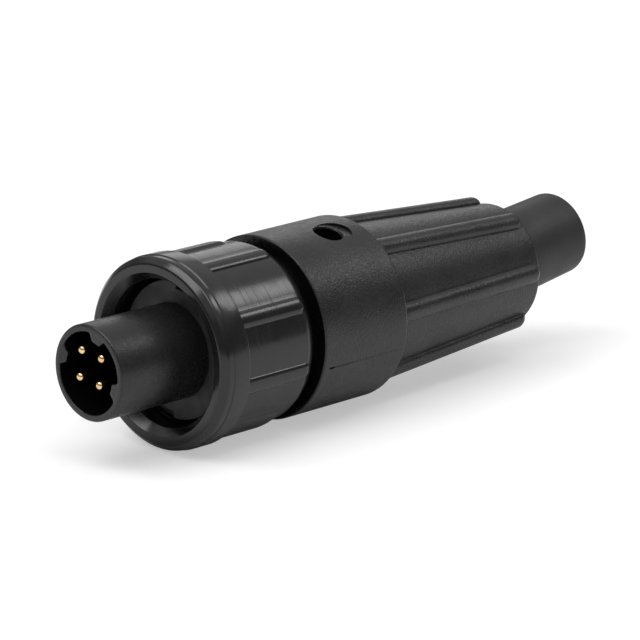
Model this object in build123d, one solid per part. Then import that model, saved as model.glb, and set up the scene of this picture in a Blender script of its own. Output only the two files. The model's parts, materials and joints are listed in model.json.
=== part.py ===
from build123d import *
import math
import os

os.makedirs("parts", exist_ok=True)

# A weathertight round cord connector, male half: four contacts in a keyed shroud,
# a threaded coupling ring, a body sleeve with a set screw, and a gland nut with a rubber boot.
# Millimetres. The axis is +Y, the mating face is at y = 0 and faces -Y, and +Z is up.

# Driving sizes: clearances between pieces
press_gap = 0.02
slide_gap = 0.05
running_gap = 0.07
seal_gap = 0.03
soft_gap = 0.3
face_gap = 0.1
rib_root = 0.3
cut_over = 1.0
seal_round_share = 0.4

# Driving sizes: shell
shroud_radius = 5.47
shroud_wall = 0.8
shroud_length = 13.65
rim_round = 0.3
flange_clearance = 0.41
flange_thick = 1.35
drum_groove_depth = 0.7
drum_groove_width = 1.2
drum_thick = 2.0
notch_count = 2
notch_depth = 0.95
notch_span = 31.0
barrel_step = 1.18
spigot_step = 0.15
spigot_length = 13.7
spigot_wall = 1.1
counterbore_setback = 0.35

# Driving sizes: keys inside the shroud
key_angles = (-17.5, 72.5, 162.5)
key_height = 0.95
key_root_width = 2.6
key_tip_width = 1.1
key_setback = 0.35
key_length = 8.0

# Driving sizes: contacts and their insert
contact_pitch = 3.15
contact_turn = -7.0
contact_rise = 0.55
pin_radius = 0.5
pin_setback = 0.1
pin_nose_round = 0.45
pin_shoulder_radius = 0.85
pin_shoulder_length = 1.6
cup_radius = 0.95
cup_length = 5.0
cup_wall = 0.28
cup_bore_depth = 3.8
insert_nose_length = 5.0
insert_flange_length = 6.0
insert_boss_step = 1.45
insert_boss_length = 2.4
insert_groove_depth = 0.8
insert_groove_width = 1.2
insert_groove_back = 1.6
retainer_thick = 1.8
retainer_slot_width = 1.4
retainer_slot_depth = 0.9

# Driving sizes: mating gasket
gasket_thick = 0.65
gasket_seat_depth = 0.25
gasket_setback = 0.15

# Driving sizes: coupling ring
ring_mouth_reach = 3.55
ring_mating_gap = 2.99
ring_mouth_flare = 0.88
ring_chamfer_length = 1.1
ring_rim_width = 0.96
ring_lip_bevel = 0.7
ring_lip_round = 0.56
ring_band_step = 0.12
ring_lip_length = 1.6
ring_band_length = 2.3
ring_line_depth = 0.05
ring_line_width = 0.15
ring_grip_drop = 0.67
ring_skirt_length = 2.05
ring_rear_round = 0.5
ring_thread_length = 6.0
ring_cavity_relief = 0.44
ring_bearing_length = 3.3
ring_skirt_wall = 1.25

# Driving sizes: ribs and thumb pads of the coupling ring
ring_rib_height = 0.38
ring_rib_count = 3
ring_rib_pitch = 40.0
ring_rib_centre_angle = 28.3
ring_rib_top_width = 0.3
ring_rib_flank_width = 0.9
ring_rib_setback = 0.85
ring_pad_span = 47.0
ring_pad_setback = 2.5
ring_pad_slope = 1.3

# Driving sizes: washers behind the shell's drum
slip_washer_thick = 0.4
slip_washer_clearance = 0.45
spring_thick = 0.3
spring_rise = 0.45
spring_bore_gap = 0.3
spring_rim_step = 0.15

# Driving sizes: body sleeve
body_ring_gap = 1.35
body_length = 13.45
body_step = 0.25
body_front_round = 0.35
body_rear_round = 0.45
body_boss_gap = 0.5
body_boss_length = 2.85
spigot_end_gap = 0.2
rear_spigot_radius = 7.0
rear_spigot_length = 10.4
rear_spigot_wall = 1.0
body_seal_setback = 0.9
body_seal_groove_width = 1.0
body_seal_groove_depth = 0.55

# Driving sizes: set screw
screw_setback = 8.15
screw_angle = 73.5
screw_hole_radius = 1.65
screw_face_radius = 2.5
screw_face_depth = 0.24
screw_face_lean = 4.5
screw_head_depth = 2.6
screw_slot_width = 0.5
screw_slot_depth = 0.7

# Driving sizes: grip nut
nut_joint = 0.2
nut_mouth_length = 4.4
nut_front_wall = 2.2
nut_rear_wall = 1.2
nut_rear_round = 0.7
nut_thread_relief = 1.0
nut_chamber_step = 0.15
nut_mouth_lip = 0.55
grip_rib_count = 7
grip_rib_first_angle = 4.5
grip_rib_width = 2.3
grip_rib_front_height = 0.95
grip_rib_rear_height = 1.1
grip_rib_setback = 1.0

# Driving sizes: gland inside the nut
grommet_seat_gap = 2.0
grommet_head_length = 0.9
grommet_bore_radius = 3.1
cable_radius = 3.0
clamp_ring_length = 1.5
clamp_finger_length = 5.6
clamp_clearance = 0.45
clamp_finger_step = 0.5
clamp_finger_taper = 1.0
clamp_bore_radius = 3.4
clamp_slot_count = 6
clamp_slot_width = 0.9
cone_clearance = 0.25
washer_thick = 0.8
washer_bore_radius = 5.65

# Driving sizes: strain relief boot
boot_flange_length = 1.8
boot_root_radius = 5.2
boot_tip_radius = 5.05
boot_length = 16.8
boot_tilt = 7.0
boot_tip_round = 0.9
boot_sink = 1.25

# Radii worked out from the driving sizes
bore_radius = shroud_radius - shroud_wall
barrel_radius = shroud_radius + barrel_step
ring_thread_minor_radius = shroud_radius + ring_mating_gap
spigot_radius = barrel_radius - spigot_step
counterbore_radius = spigot_radius - spigot_wall
insert_boss_radius = counterbore_radius - insert_boss_step
flange_radius = ring_thread_minor_radius - flange_clearance
notch_radius = flange_radius - notch_depth
gasket_outer_radius = flange_radius - gasket_setback
notch_first_angle = key_angles[1]
ring_mouth_radius = ring_thread_minor_radius + ring_mouth_flare
ring_lip_flat_radius = ring_mouth_radius + ring_rim_width
ring_lip_radius = ring_lip_flat_radius + ring_lip_bevel
ring_band_radius = ring_lip_radius + ring_band_step
ring_grip_radius = ring_band_radius - ring_grip_drop
ring_skirt_radius = ring_grip_radius - ring_skirt_wall
ring_cavity_radius = ring_thread_minor_radius + ring_cavity_relief
slip_washer_radius = ring_cavity_radius - slip_washer_clearance
spring_inner_radius = barrel_radius + spring_bore_gap
spring_outer_radius = slip_washer_radius - spring_rim_step
body_radius = ring_grip_radius + body_step
body_boss_radius = ring_skirt_radius - body_boss_gap
rear_bore_radius = rear_spigot_radius - rear_spigot_wall
nut_thread_radius = rear_spigot_radius + face_gap
nut_front_radius = nut_thread_radius + nut_front_wall
nut_chamber_radius = rear_spigot_radius - nut_chamber_step
nut_mouth_radius = nut_chamber_radius - nut_mouth_lip
nut_rear_radius = nut_mouth_radius + nut_rear_wall
grip_rib_front_radius = nut_front_radius + grip_rib_front_height
grip_rib_rear_radius = nut_rear_radius + grip_rib_rear_height
cone_radius = nut_chamber_radius - cone_clearance
clamp_front_radius = nut_chamber_radius - clamp_clearance
clamp_finger_front_radius = clamp_front_radius - clamp_finger_step
clamp_finger_rear_radius = clamp_finger_front_radius - clamp_finger_taper
boot_flange_radius = nut_chamber_radius - soft_gap - slide_gap

# Places on the axis worked out from the driving sizes
flange_end = shroud_length + flange_thick
drum_start = flange_end + drum_groove_width
drum_end = drum_start + drum_thick
counterbore_start = shroud_length + counterbore_setback
insert_face = counterbore_start - insert_nose_length
insert_flange_end = counterbore_start + insert_flange_length
insert_end = insert_flange_end + insert_boss_length
bearing_start = drum_end + slip_washer_thick + spring_thick + spring_rise + face_gap
bearing_end = bearing_start + ring_bearing_length
gasket_start = shroud_length - gasket_thick
ring_mouth_y = shroud_length - ring_mouth_reach
ring_thread_start = ring_mouth_y + ring_chamfer_length
ring_thread_end = ring_thread_start + ring_thread_length
ring_band_start = ring_mouth_y + ring_lip_length
ring_band_end = ring_band_start + ring_band_length
ring_rear_y = bearing_end + ring_skirt_length
ring_rib_end = ring_rear_y - ring_rib_setback
ring_pad_end = ring_rear_y - ring_pad_setback
body_start = ring_rear_y + body_ring_gap
body_end = body_start + body_length
boss_front = body_start - body_boss_length
spigot_end = boss_front + spigot_length
body_bore_end = spigot_end + spigot_end_gap
body_seal_groove_start = boss_front + body_seal_setback
screw_y = body_start + screw_setback
rear_spigot_end = body_end + rear_spigot_length
nut_start = body_end + nut_joint
nut_thread_end = rear_spigot_end + nut_thread_relief
grommet_front = body_bore_end + grommet_seat_gap
grommet_head_start = rear_spigot_end + soft_gap
clamp_start = grommet_head_start + grommet_head_length + slide_gap
clamp_ring_end = clamp_start + clamp_ring_length
clamp_end = clamp_ring_end + clamp_finger_length
cone_start = clamp_ring_end + slide_gap
boot_flange_start = clamp_end + soft_gap
boot_pivot = boot_flange_start + boot_flange_length + soft_gap
washer_start = boot_flange_start + boot_flange_length + slide_gap
nut_chamber_end = washer_start + washer_thick + face_gap
nut_end = nut_chamber_end + nut_mouth_length
grip_rib_end = nut_end - grip_rib_setback


def turned(points, arc=360.0):
    """A solid of revolution about the axis, from (radius, y) corners, full or over an arc."""
    return revolve(Plane.XY * make_face(Polyline(*points, close=True)), Axis.Y, revolution_arc=arc)


def tube(inner, outer, start, end):
    """A plain ring between two radii and two places on the axis."""
    return turned([(inner, start), (outer, start), (outer, end), (inner, end)])


def prism(corners, start, end):
    """A bar along the axis whose section has (x, z) corners."""
    section = make_face(Polyline(*corners, close=True))
    plane = Plane(origin=(0, end, 0), x_dir=(1, 0, 0), z_dir=(0, -1, 0))
    return extrude(plane * section, end - start)


def at_angle(shape, angle):
    """Turn a shape made at +X to an angle counted from +X towards +Z."""
    return Rot(0, -angle, 0) * shape


def rims(solid, radius, y):
    """The circular edges of one radius at one place on the axis."""
    circles = solid.edges().filter_by(GeomType.CIRCLE)
    return [
        edge for edge in circles
        if abs(edge.radius - radius) < 0.01 and abs(edge.arc_center.Y - y) < 0.01
    ]


def rounded(solid, radius, y, size):
    """Round the rims of one radius at one place."""
    return fillet(rims(solid, radius, y), size)


def ring_rims(ring, inner, outer, start, end):
    """The four rims of a plain ring."""
    return [edge for radius in (inner, outer) for y in (start, end) for edge in rims(ring, radius, y)]


def contact_centres():
    """The four contact places as (x, z), on a turned and raised square."""
    half = contact_pitch / 2
    turn = math.radians(contact_turn)
    for x, z in ((half, half), (-half, half), (-half, -half), (half, -half)):
        yield (
            x * math.cos(turn) - z * math.sin(turn),
            x * math.sin(turn) + z * math.cos(turn) + contact_rise,
        )


def notched(solid):
    """The solid with the coding notches cut through the flange and the gasket in front of it."""
    notch = turned(
        [
            (notch_radius, gasket_start - cut_over),
            (flange_radius + cut_over, gasket_start - cut_over),
            (flange_radius + cut_over, flange_end),
            (notch_radius, flange_end),
        ],
        notch_span,
    )
    for index in range(notch_count):
        middle = notch_first_angle + index * 360 / notch_count
        solid -= at_angle(notch, middle + notch_span / 2)
    return solid


# Shell: shroud, notched flange, grooved drum, bearing barrel and threaded spigot in one moulding
def make_plug_shell():
    groove_radius = flange_radius - drum_groove_depth
    shell = turned([
        (bore_radius, 0),
        (shroud_radius, 0),
        (shroud_radius, gasket_start - seal_gap),
        (shroud_radius - gasket_seat_depth, gasket_start - seal_gap),
        (shroud_radius - gasket_seat_depth, shroud_length),
        (flange_radius, shroud_length),
        (flange_radius, flange_end),
        (groove_radius, flange_end),
        (groove_radius, drum_start),
        (flange_radius, drum_start),
        (flange_radius, drum_end),
        (barrel_radius, drum_end),
        (barrel_radius, boss_front),
        (spigot_radius, boss_front),
        (spigot_radius, spigot_end),
        (counterbore_radius, spigot_end),
        (counterbore_radius, counterbore_start),
        (bore_radius, counterbore_start),
    ])
    shell = rounded(shell, shroud_radius, 0, rim_round)
    shell = notched(shell)
    root = bore_radius + rib_root
    tip = bore_radius - key_height
    key = prism(
        [
            (root, -key_root_width / 2),
            (tip, -key_tip_width / 2),
            (tip, key_tip_width / 2),
            (root, key_root_width / 2),
        ],
        key_setback,
        key_setback + key_length,
    )
    for angle in key_angles:
        shell += at_angle(key, angle)
    groove_floor = spigot_radius - body_seal_groove_depth
    shell -= tube(
        groove_floor,
        spigot_radius + cut_over,
        body_seal_groove_start,
        body_seal_groove_start + body_seal_groove_width,
    )
    return shell


# One contact: a round-nosed pin, a shoulder that locks it in the insert and a solder cup
def contact_body(extra):
    shoulder_start = counterbore_start + insert_groove_back / 2
    shoulder_end = shoulder_start + pin_shoulder_length
    return turned([
        (0, pin_setback),
        (pin_radius + extra, pin_setback),
        (pin_radius + extra, shoulder_start - extra),
        (pin_shoulder_radius + extra, shoulder_start - extra),
        (pin_shoulder_radius + extra, shoulder_end + extra),
        (pin_radius + extra, shoulder_end + extra),
        (pin_radius + extra, insert_end),
        (cup_radius, insert_end),
        (cup_radius, insert_end + cup_length),
        (0, insert_end + cup_length),
    ])


def make_contact():
    contact = rounded(contact_body(0), pin_radius, pin_setback, pin_nose_round)
    cup_end = insert_end + cup_length
    cup_bore = cup_radius - cup_wall
    bore = Pos(0, cup_end - cup_bore_depth / 2, 0) * Rot(90, 0, 0) * Cylinder(cup_bore, cup_bore_depth)
    scoop = Pos(cup_radius, cup_end - cup_bore_depth / 4, 0) * Box(
        2 * cup_radius, cup_bore_depth / 2, 2 * cup_radius + cut_over
    )
    return contact - bore - scoop


# Insert: the insulator that holds the four contacts
def make_contact_insert():
    front_radius = bore_radius - slide_gap
    flange = counterbore_radius - slide_gap
    insert = turned([
        (0, insert_face),
        (front_radius, insert_face),
        (front_radius, counterbore_start),
        (flange, counterbore_start),
        (flange, insert_flange_end),
        (insert_boss_radius, insert_flange_end),
        (insert_boss_radius, insert_end),
        (0, insert_end),
    ])
    insert -= tube(
        counterbore_radius - insert_groove_depth,
        counterbore_radius + cut_over,
        counterbore_start + insert_groove_back,
        counterbore_start + insert_groove_back + insert_groove_width,
    )
    for x, z in contact_centres():
        insert -= Pos(x, 0, z) * contact_body(press_gap)
    return insert


def make_insert_seal():
    start = counterbore_start + insert_groove_back + seal_gap
    end = start + insert_groove_width - 2 * seal_gap
    inner = counterbore_radius - insert_groove_depth + seal_gap
    outer = counterbore_radius - seal_gap
    seal = tube(inner, outer, start, end)
    return fillet(ring_rims(seal, inner, outer, start, end), (outer - inner) * seal_round_share)


# Retainer: a threaded ring that holds the insert against its seat
def make_insert_retainer():
    outer = counterbore_radius - slide_gap
    inner = insert_boss_radius + slide_gap
    ring = tube(inner, outer, insert_flange_end, insert_flange_end + retainer_thick)
    slot = Pos(0, insert_flange_end + retainer_thick - retainer_slot_depth / 2, 0) * Box(
        2 * outer + cut_over, retainer_slot_depth, retainer_slot_width
    )
    return ring - slot


# Mating gasket: a flat ring on the flange's face, with the flange's notches
def make_mating_gasket():
    inner = shroud_radius - gasket_seat_depth + seal_gap
    return notched(tube(inner, gasket_outer_radius, gasket_start, shroud_length))


# Coupling ring: rolled front lip, plain band, ribbed grip and a bearing that turns on the barrel
def make_coupling_ring():
    line_floor = ring_lip_radius - ring_line_depth
    ring = turned([
        (ring_thread_minor_radius, ring_thread_start),
        (ring_mouth_radius, ring_mouth_y),
        (ring_lip_flat_radius, ring_mouth_y),
        (ring_lip_radius, ring_mouth_y + ring_lip_bevel),
        (ring_lip_radius, ring_band_start - ring_line_width),
        (line_floor, ring_band_start - ring_line_width),
        (line_floor, ring_band_start),
        (ring_band_radius, ring_band_start),
        (ring_band_radius, ring_band_end),
        (ring_grip_radius, ring_band_end),
        (ring_grip_radius, ring_rear_y),
        (ring_skirt_radius, ring_rear_y),
        (ring_skirt_radius, bearing_end),
        (barrel_radius + running_gap, bearing_end),
        (barrel_radius + running_gap, bearing_start),
        (ring_cavity_radius, bearing_start),
        (ring_cavity_radius, ring_thread_end),
        (ring_thread_minor_radius, ring_thread_end),
    ])
    ring = rounded(ring, ring_grip_radius, ring_rear_y, ring_rear_round)
    lip_rims = rims(ring, ring_lip_flat_radius, ring_mouth_y)
    lip_rims += rims(ring, ring_lip_radius, ring_mouth_y + ring_lip_bevel)
    ring = fillet(lip_rims, ring_lip_round)
    foot = ring_grip_radius - rib_root
    skirt = ring_grip_radius - press_gap
    rib_start = ring_band_end - rib_root
    top = ring_grip_radius + ring_rib_height
    half_top = ring_rib_top_width / 2
    half_foot = half_top + ring_rib_flank_width
    rib = prism(
        [
            (foot, -half_foot),
            (skirt, -half_foot),
            (top, -half_top),
            (top, half_top),
            (skirt, half_foot),
            (foot, half_foot),
        ],
        rib_start,
        ring_rib_end,
    )
    pad = turned(
        [
            (foot, rib_start),
            (top, rib_start),
            (top, ring_pad_end - ring_pad_slope),
            (skirt, ring_pad_end),
            (foot, ring_pad_end),
        ],
        ring_pad_span,
    )
    for side in (0, 180):
        for index in range(ring_rib_count):
            offset = (index - (ring_rib_count - 1) / 2) * ring_rib_pitch
            ring += at_angle(rib, ring_rib_centre_angle + side + offset)
        ring += at_angle(pad, ring_rib_centre_angle + side + 90 + ring_pad_span / 2)
    return ring


def make_slip_washer():
    return tube(barrel_radius + slide_gap, slip_washer_radius, drum_end, drum_end + slip_washer_thick)


# Spring washer: a coned disc that loads the coupling ring rearwards
def make_spring_washer():
    base = drum_end + slip_washer_thick
    return turned([
        (spring_inner_radius, base + spring_rise),
        (spring_outer_radius, base),
        (spring_outer_radius, base + spring_thick),
        (spring_inner_radius, base + spring_rise + spring_thick),
    ])


# Body sleeve: fixed to the shell's spigot, with a threaded spigot of its own for the nut
def make_body_sleeve():
    bore = spigot_radius + slide_gap
    body = turned([
        (bore, boss_front),
        (body_boss_radius, boss_front),
        (body_boss_radius, body_start),
        (body_radius, body_start),
        (body_radius, body_end),
        (rear_spigot_radius, body_end),
        (rear_spigot_radius, rear_spigot_end),
        (rear_bore_radius, rear_spigot_end),
        (rear_bore_radius, body_bore_end),
        (bore, body_bore_end),
    ])
    body = rounded(body, body_radius, body_start, body_front_round)
    body = rounded(body, body_radius, body_end, body_rear_round)
    hole_length = body_radius
    hole = Pos(hole_length / 2 + spigot_radius - cut_over, screw_y, 0) * Rot(0, 90, 0) * Cylinder(
        screw_hole_radius, hole_length
    )
    face = Pos(body_radius, screw_y, 0) * Rot(0, -screw_face_lean, 0)
    face *= Pos(cut_over / 2 - screw_face_depth, 0, 0) * Rot(0, 90, 0) * Cylinder(screw_face_radius, cut_over)
    return body - at_angle(hole, screw_angle) - at_angle(face, screw_angle)


def make_body_seal():
    start = body_seal_groove_start + seal_gap
    end = body_seal_groove_start + body_seal_groove_width - seal_gap
    inner = spigot_radius - body_seal_groove_depth + seal_gap
    outer = spigot_radius + slide_gap - press_gap
    seal = tube(inner, outer, start, end)
    return fillet(ring_rims(seal, inner, outer, start, end), (outer - inner) * seal_round_share)


# Set screw: slotted, with its flat tip on the shell's spigot
def make_set_screw():
    tip = spigot_radius + press_gap
    head = body_radius - screw_head_depth
    length = head - tip
    screw = Pos(tip + length / 2, screw_y, 0) * Rot(0, 90, 0) * Cylinder(
        screw_hole_radius - slide_gap, length
    )
    slot = Pos(head - screw_slot_depth / 2, screw_y, 0) * Box(
        screw_slot_depth, screw_slot_width, 2 * screw_hole_radius + cut_over
    )
    return at_angle(screw - slot, screw_angle)


# Grip nut: a tapered nut with raised ribs, bored for the thread, the gland and the boot
def make_grip_nut():
    nut = turned([
        (nut_thread_radius, nut_start),
        (nut_front_radius, nut_start),
        (nut_rear_radius, nut_end),
        (nut_mouth_radius, nut_end),
        (nut_mouth_radius, nut_chamber_end),
        (nut_chamber_radius, nut_chamber_end),
        (nut_chamber_radius, nut_thread_end),
        (nut_thread_radius, nut_thread_end),
    ])
    nut = rounded(nut, nut_rear_radius, nut_end, nut_rear_round)
    nut_length = nut_end - nut_start
    base_slope = (nut_front_radius - nut_rear_radius) / nut_length
    end_base = nut_front_radius - base_slope * (grip_rib_end - nut_start)
    core = nut_rear_radius - rib_root
    side = Plane.XY * make_face(Polyline(
        (core, nut_start),
        (grip_rib_front_radius, nut_start),
        (grip_rib_rear_radius, grip_rib_end - grip_rib_width / 2),
        (end_base - rib_root, grip_rib_end),
        (core, grip_rib_end - grip_rib_width / 2),
        close=True,
    ))
    rib = extrude(side, grip_rib_width / 2, both=True)
    for index in range(grip_rib_count):
        nut += at_angle(rib, grip_rib_first_angle + index * 360 / grip_rib_count)
    return nut


# Grommet: a rubber plug in the body's rear bore that seals on the cable
def make_gland_grommet():
    return turned([
        (grommet_bore_radius, grommet_front),
        (rear_bore_radius - soft_gap, grommet_front),
        (rear_bore_radius - soft_gap, grommet_head_start),
        (rear_spigot_radius - soft_gap, grommet_head_start),
        (rear_spigot_radius - soft_gap, grommet_head_start + grommet_head_length),
        (grommet_bore_radius, grommet_head_start + grommet_head_length),
    ])


# Clamp: a slotted collet whose fingers close on the cable
def make_gland_clamp():
    clamp = turned([
        (clamp_bore_radius, clamp_start),
        (clamp_front_radius, clamp_start),
        (clamp_front_radius, clamp_ring_end),
        (clamp_finger_front_radius, clamp_ring_end),
        (clamp_finger_rear_radius, clamp_end),
        (clamp_bore_radius, clamp_end),
    ])
    slot_start = clamp_ring_end + clamp_slot_width
    slot_length = clamp_end - slot_start + cut_over
    slot = Pos(clamp_front_radius / 2, slot_start + slot_length / 2, 0) * Box(
        clamp_front_radius, slot_length, clamp_slot_width
    )
    for index in range(clamp_slot_count):
        clamp -= at_angle(slot, index * 360 / clamp_slot_count)
    return clamp


def make_clamp_cone():
    slope = (clamp_finger_front_radius - clamp_finger_rear_radius) / clamp_finger_length
    front = clamp_finger_front_radius - slope * (cone_start - clamp_ring_end) + slide_gap
    return turned([
        (front, cone_start),
        (cone_radius, cone_start),
        (cone_radius, clamp_end),
        (clamp_finger_rear_radius + slide_gap, clamp_end),
    ])


def make_thrust_washer():
    return tube(washer_bore_radius, cone_radius, washer_start, washer_start + washer_thick)


# Strain relief: a rubber boot, held by its flange, that leans up a little as it leaves the nut
def make_strain_relief():
    flange_back = boot_flange_start + boot_flange_length
    flange = turned([
        (0, boot_flange_start),
        (boot_flange_radius, boot_flange_start),
        (boot_flange_radius, flange_back),
        (0, flange_back),
    ])
    root = -boot_sink
    sleeve = turned([(0, root), (boot_root_radius, root), (boot_tip_radius, boot_length), (0, boot_length)])
    sleeve = rounded(sleeve, boot_tip_radius, boot_length, boot_tip_round)
    lean = Pos(0, boot_pivot, 0) * Rot(boot_tilt, 0, 0)
    bore_start = -boot_flange_length - boot_sink - cut_over
    bore_end = boot_length + cut_over
    bore = Pos(0, (bore_start + bore_end) / 2, 0) * Rot(90, 0, 0) * Cylinder(
        cable_radius, bore_end - bore_start
    )
    return (flange + lean * sleeve) - lean * bore


pieces = {
    "plug_shell": make_plug_shell(),
    "contact_insert": make_contact_insert(),
    "insert_seal": make_insert_seal(),
    "insert_retainer": make_insert_retainer(),
    "mating_gasket": make_mating_gasket(),
    "slip_washer": make_slip_washer(),
    "spring_washer": make_spring_washer(),
    "body_sleeve": make_body_sleeve(),
    "body_seal": make_body_seal(),
    "set_screw": make_set_screw(),
    "coupling_ring": make_coupling_ring(),
    "gland_grommet": make_gland_grommet(),
    "gland_clamp": make_gland_clamp(),
    "clamp_cone": make_clamp_cone(),
    "thrust_washer": make_thrust_washer(),
    "strain_relief": make_strain_relief(),
    "grip_nut": make_grip_nut(),
}
contact = make_contact()
for number, (x, z) in enumerate(contact_centres(), start=1):
    outward = math.degrees(math.atan2(z - contact_rise, x))
    pieces[f"contact_pin_{number}"] = Pos(x, 0, z) * at_angle(contact, outward)

for name, shape in pieces.items():
    export_step(shape, f"parts/{name}.step")
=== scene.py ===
import json
import math
import bmesh
import bpy
from mathutils import Matrix, Vector


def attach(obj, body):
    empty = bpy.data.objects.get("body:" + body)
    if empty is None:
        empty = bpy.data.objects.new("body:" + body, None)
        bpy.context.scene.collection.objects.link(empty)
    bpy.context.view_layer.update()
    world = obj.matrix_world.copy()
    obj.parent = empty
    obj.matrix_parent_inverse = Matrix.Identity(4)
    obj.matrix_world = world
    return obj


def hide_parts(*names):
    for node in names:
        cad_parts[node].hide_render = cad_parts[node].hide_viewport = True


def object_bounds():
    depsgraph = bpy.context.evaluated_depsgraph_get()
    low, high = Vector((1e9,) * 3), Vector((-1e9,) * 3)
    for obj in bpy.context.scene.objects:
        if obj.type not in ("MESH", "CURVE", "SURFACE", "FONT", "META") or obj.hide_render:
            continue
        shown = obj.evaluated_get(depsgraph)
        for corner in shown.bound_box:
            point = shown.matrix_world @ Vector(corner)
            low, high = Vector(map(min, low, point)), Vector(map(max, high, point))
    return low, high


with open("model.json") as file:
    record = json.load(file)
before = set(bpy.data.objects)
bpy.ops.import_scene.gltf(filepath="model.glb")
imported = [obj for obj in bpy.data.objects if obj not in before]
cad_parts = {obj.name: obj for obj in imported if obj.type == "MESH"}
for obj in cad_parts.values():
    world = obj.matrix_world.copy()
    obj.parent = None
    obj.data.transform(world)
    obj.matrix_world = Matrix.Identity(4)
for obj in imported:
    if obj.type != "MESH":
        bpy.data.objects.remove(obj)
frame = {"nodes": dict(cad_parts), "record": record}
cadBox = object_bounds()
scene = bpy.context.scene
mm = 0.001  # every size below is in millimetres, as in the part's source
print("frame loaded:", len(frame["nodes"]), "nodes")

# camera at the photograph's angle, a long lens from a little above
cameraLook = {
    "place": (0.31104, -0.28090, 0.12135),  # in metres
    "azimuth": 44.46,
    "elevation": 15.41,
    "lens": 225.0,
    "sensor": 36.0,
}
camera = bpy.data.objects.new("camera", bpy.data.cameras.new("camera"))
camera.data.lens = cameraLook["lens"]
camera.data.sensor_width = cameraLook["sensor"]
camera.location = cameraLook["place"]
camera.rotation_euler = (
    math.radians(90 - cameraLook["elevation"]), 0, math.radians(cameraLook["azimuth"]))
scene.collection.objects.link(camera)
scene.camera = camera
scene.view_settings.view_transform = "Standard"
print("camera ready")


# small helpers for nodes, in materials and Geometry Nodes alike
def setSocket(tree, socket, value):
    if isinstance(value, bpy.types.NodeSocket):
        tree.links.new(value, socket)
    else:
        socket.default_value = value


def calc(tree, operation, *values):  # one Math node
    node = tree.nodes.new("ShaderNodeMath")
    node.operation = operation
    for socket, value in zip(node.inputs, values):
        setSocket(tree, socket, value)
    return node.outputs[0]


def ramp(tree, value, low, high, start=0.0, end=1.0, smooth=True):  # one Map Range node
    node = tree.nodes.new("ShaderNodeMapRange")
    node.interpolation_type = "SMOOTHSTEP" if smooth else "LINEAR"
    for socket, number in zip(node.inputs, (value, low, high, start, end)):
        setSocket(tree, socket, number)
    return node.outputs[0]


def product(tree, value, *factors):
    for factor in factors:
        value = calc(tree, "MULTIPLY", value, factor)
    return value


def distance(tree, first, second):  # from two lengths at right angles
    squares = [calc(tree, "POWER", side, 2.0) for side in (first, second)]
    return calc(tree, "SQRT", calc(tree, "ADD", *squares))


# finishes: what each noise has in every finish, and the levels between which it comes in
noiseKinds = {
    "cloud": {"detail": 3.0, "levels": (0.35, 0.65)},
    "speck": {"detail": 2.0, "rough": 0.6, "soft": 0.08},
    "patch": {"detail": 4.0, "levels": (0.3, 0.7)},
    "worn": {"detail": 2.0, "levels": (0.42, 0.58)},
    "grain": {"detail": 1.5},
    "wave": {"detail": 1.0},
    "hairs": {"detail": 1.0, "levels": (0.58, 0.70), "round": True},
    "lines": {"detail": 3.0, "round": True},
}


def noise(tree, where, look, name):  # its size is the finish's own; a round one makes lines round the axis
    kind = noiseKinds[name]
    node = tree.nodes.new("ShaderNodeTexNoise")
    node.noise_dimensions = "1D" if kind.get("round") else "3D"
    node.inputs["Scale"].default_value = 1 / (look[name] * mm)
    node.inputs["Detail"].default_value = kind["detail"]
    node.inputs["Roughness"].default_value = kind.get("rough", 0.5)
    tree.links.new(where, node.inputs["W" if kind.get("round") else "Vector"])
    return node.outputs["Fac"]


def patches(tree, where, look, name, start=0.0, end=1.0):
    return ramp(tree, noise(tree, where, look, name), *noiseKinds[name]["levels"], start, end)


def mixColour(tree, amount, first, second):
    node = tree.nodes.new("ShaderNodeMix")
    node.data_type = "RGBA"
    factor, colourA, colourB = (node.inputs[index] for index in (0, 6, 7))
    for socket, value in ((factor, amount), (colourA, first), (colourB, second)):
        setSocket(tree, socket, value)
    return node.outputs[2]


# the sleeve's side hole: the sleeve is drilled here, and shade is painted into its finish here
sideHole = {"angle": 73.5, "place": 34.3, "faceShift": 1.0}


# painted shade: the hole's chamfer and the step wall behind the spot face are painted dark
def holeShadeMask(tree, split, radius, holeShade):  # the hole itself, and the step that the spot face leaves behind it
    x, y, z = split.outputs
    turned = math.radians(sideHole["angle"])
    across = calc(tree, "SUBTRACT", calc(tree, "MULTIPLY", z, math.cos(turned)),
                  calc(tree, "MULTIPLY", x, math.sin(turned)))
    fromHole, fromFace = (
        distance(tree, across, calc(tree, "SUBTRACT", y, place * mm))
        for place in (sideHole["place"], sideHole["place"] + sideHole["faceShift"]))
    rim, soft = holeShade["rim"], holeShade["rimSoft"]
    # painted shade in the hole's chamfer, then on the step wall behind the spot face
    hole = ramp(tree, fromHole, (rim - soft) * mm, (rim + soft) * mm, 1.0, 0.0)
    step = product(
        tree, ramp(tree, fromFace, (holeShade["step"] - holeShade["stepSoft"]) * mm, holeShade["step"] * mm),
        ramp(tree, radius, (holeShade["level"] - holeShade["levelSoft"]) * mm, holeShade["level"] * mm, 1.0, 0.0),
        ramp(tree, fromFace, holeShade["stepEnd"] * mm, holeShade["stepGone"] * mm, 1.0, 0.0))
    return calc(tree, "MAXIMUM", hole, step)


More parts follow.
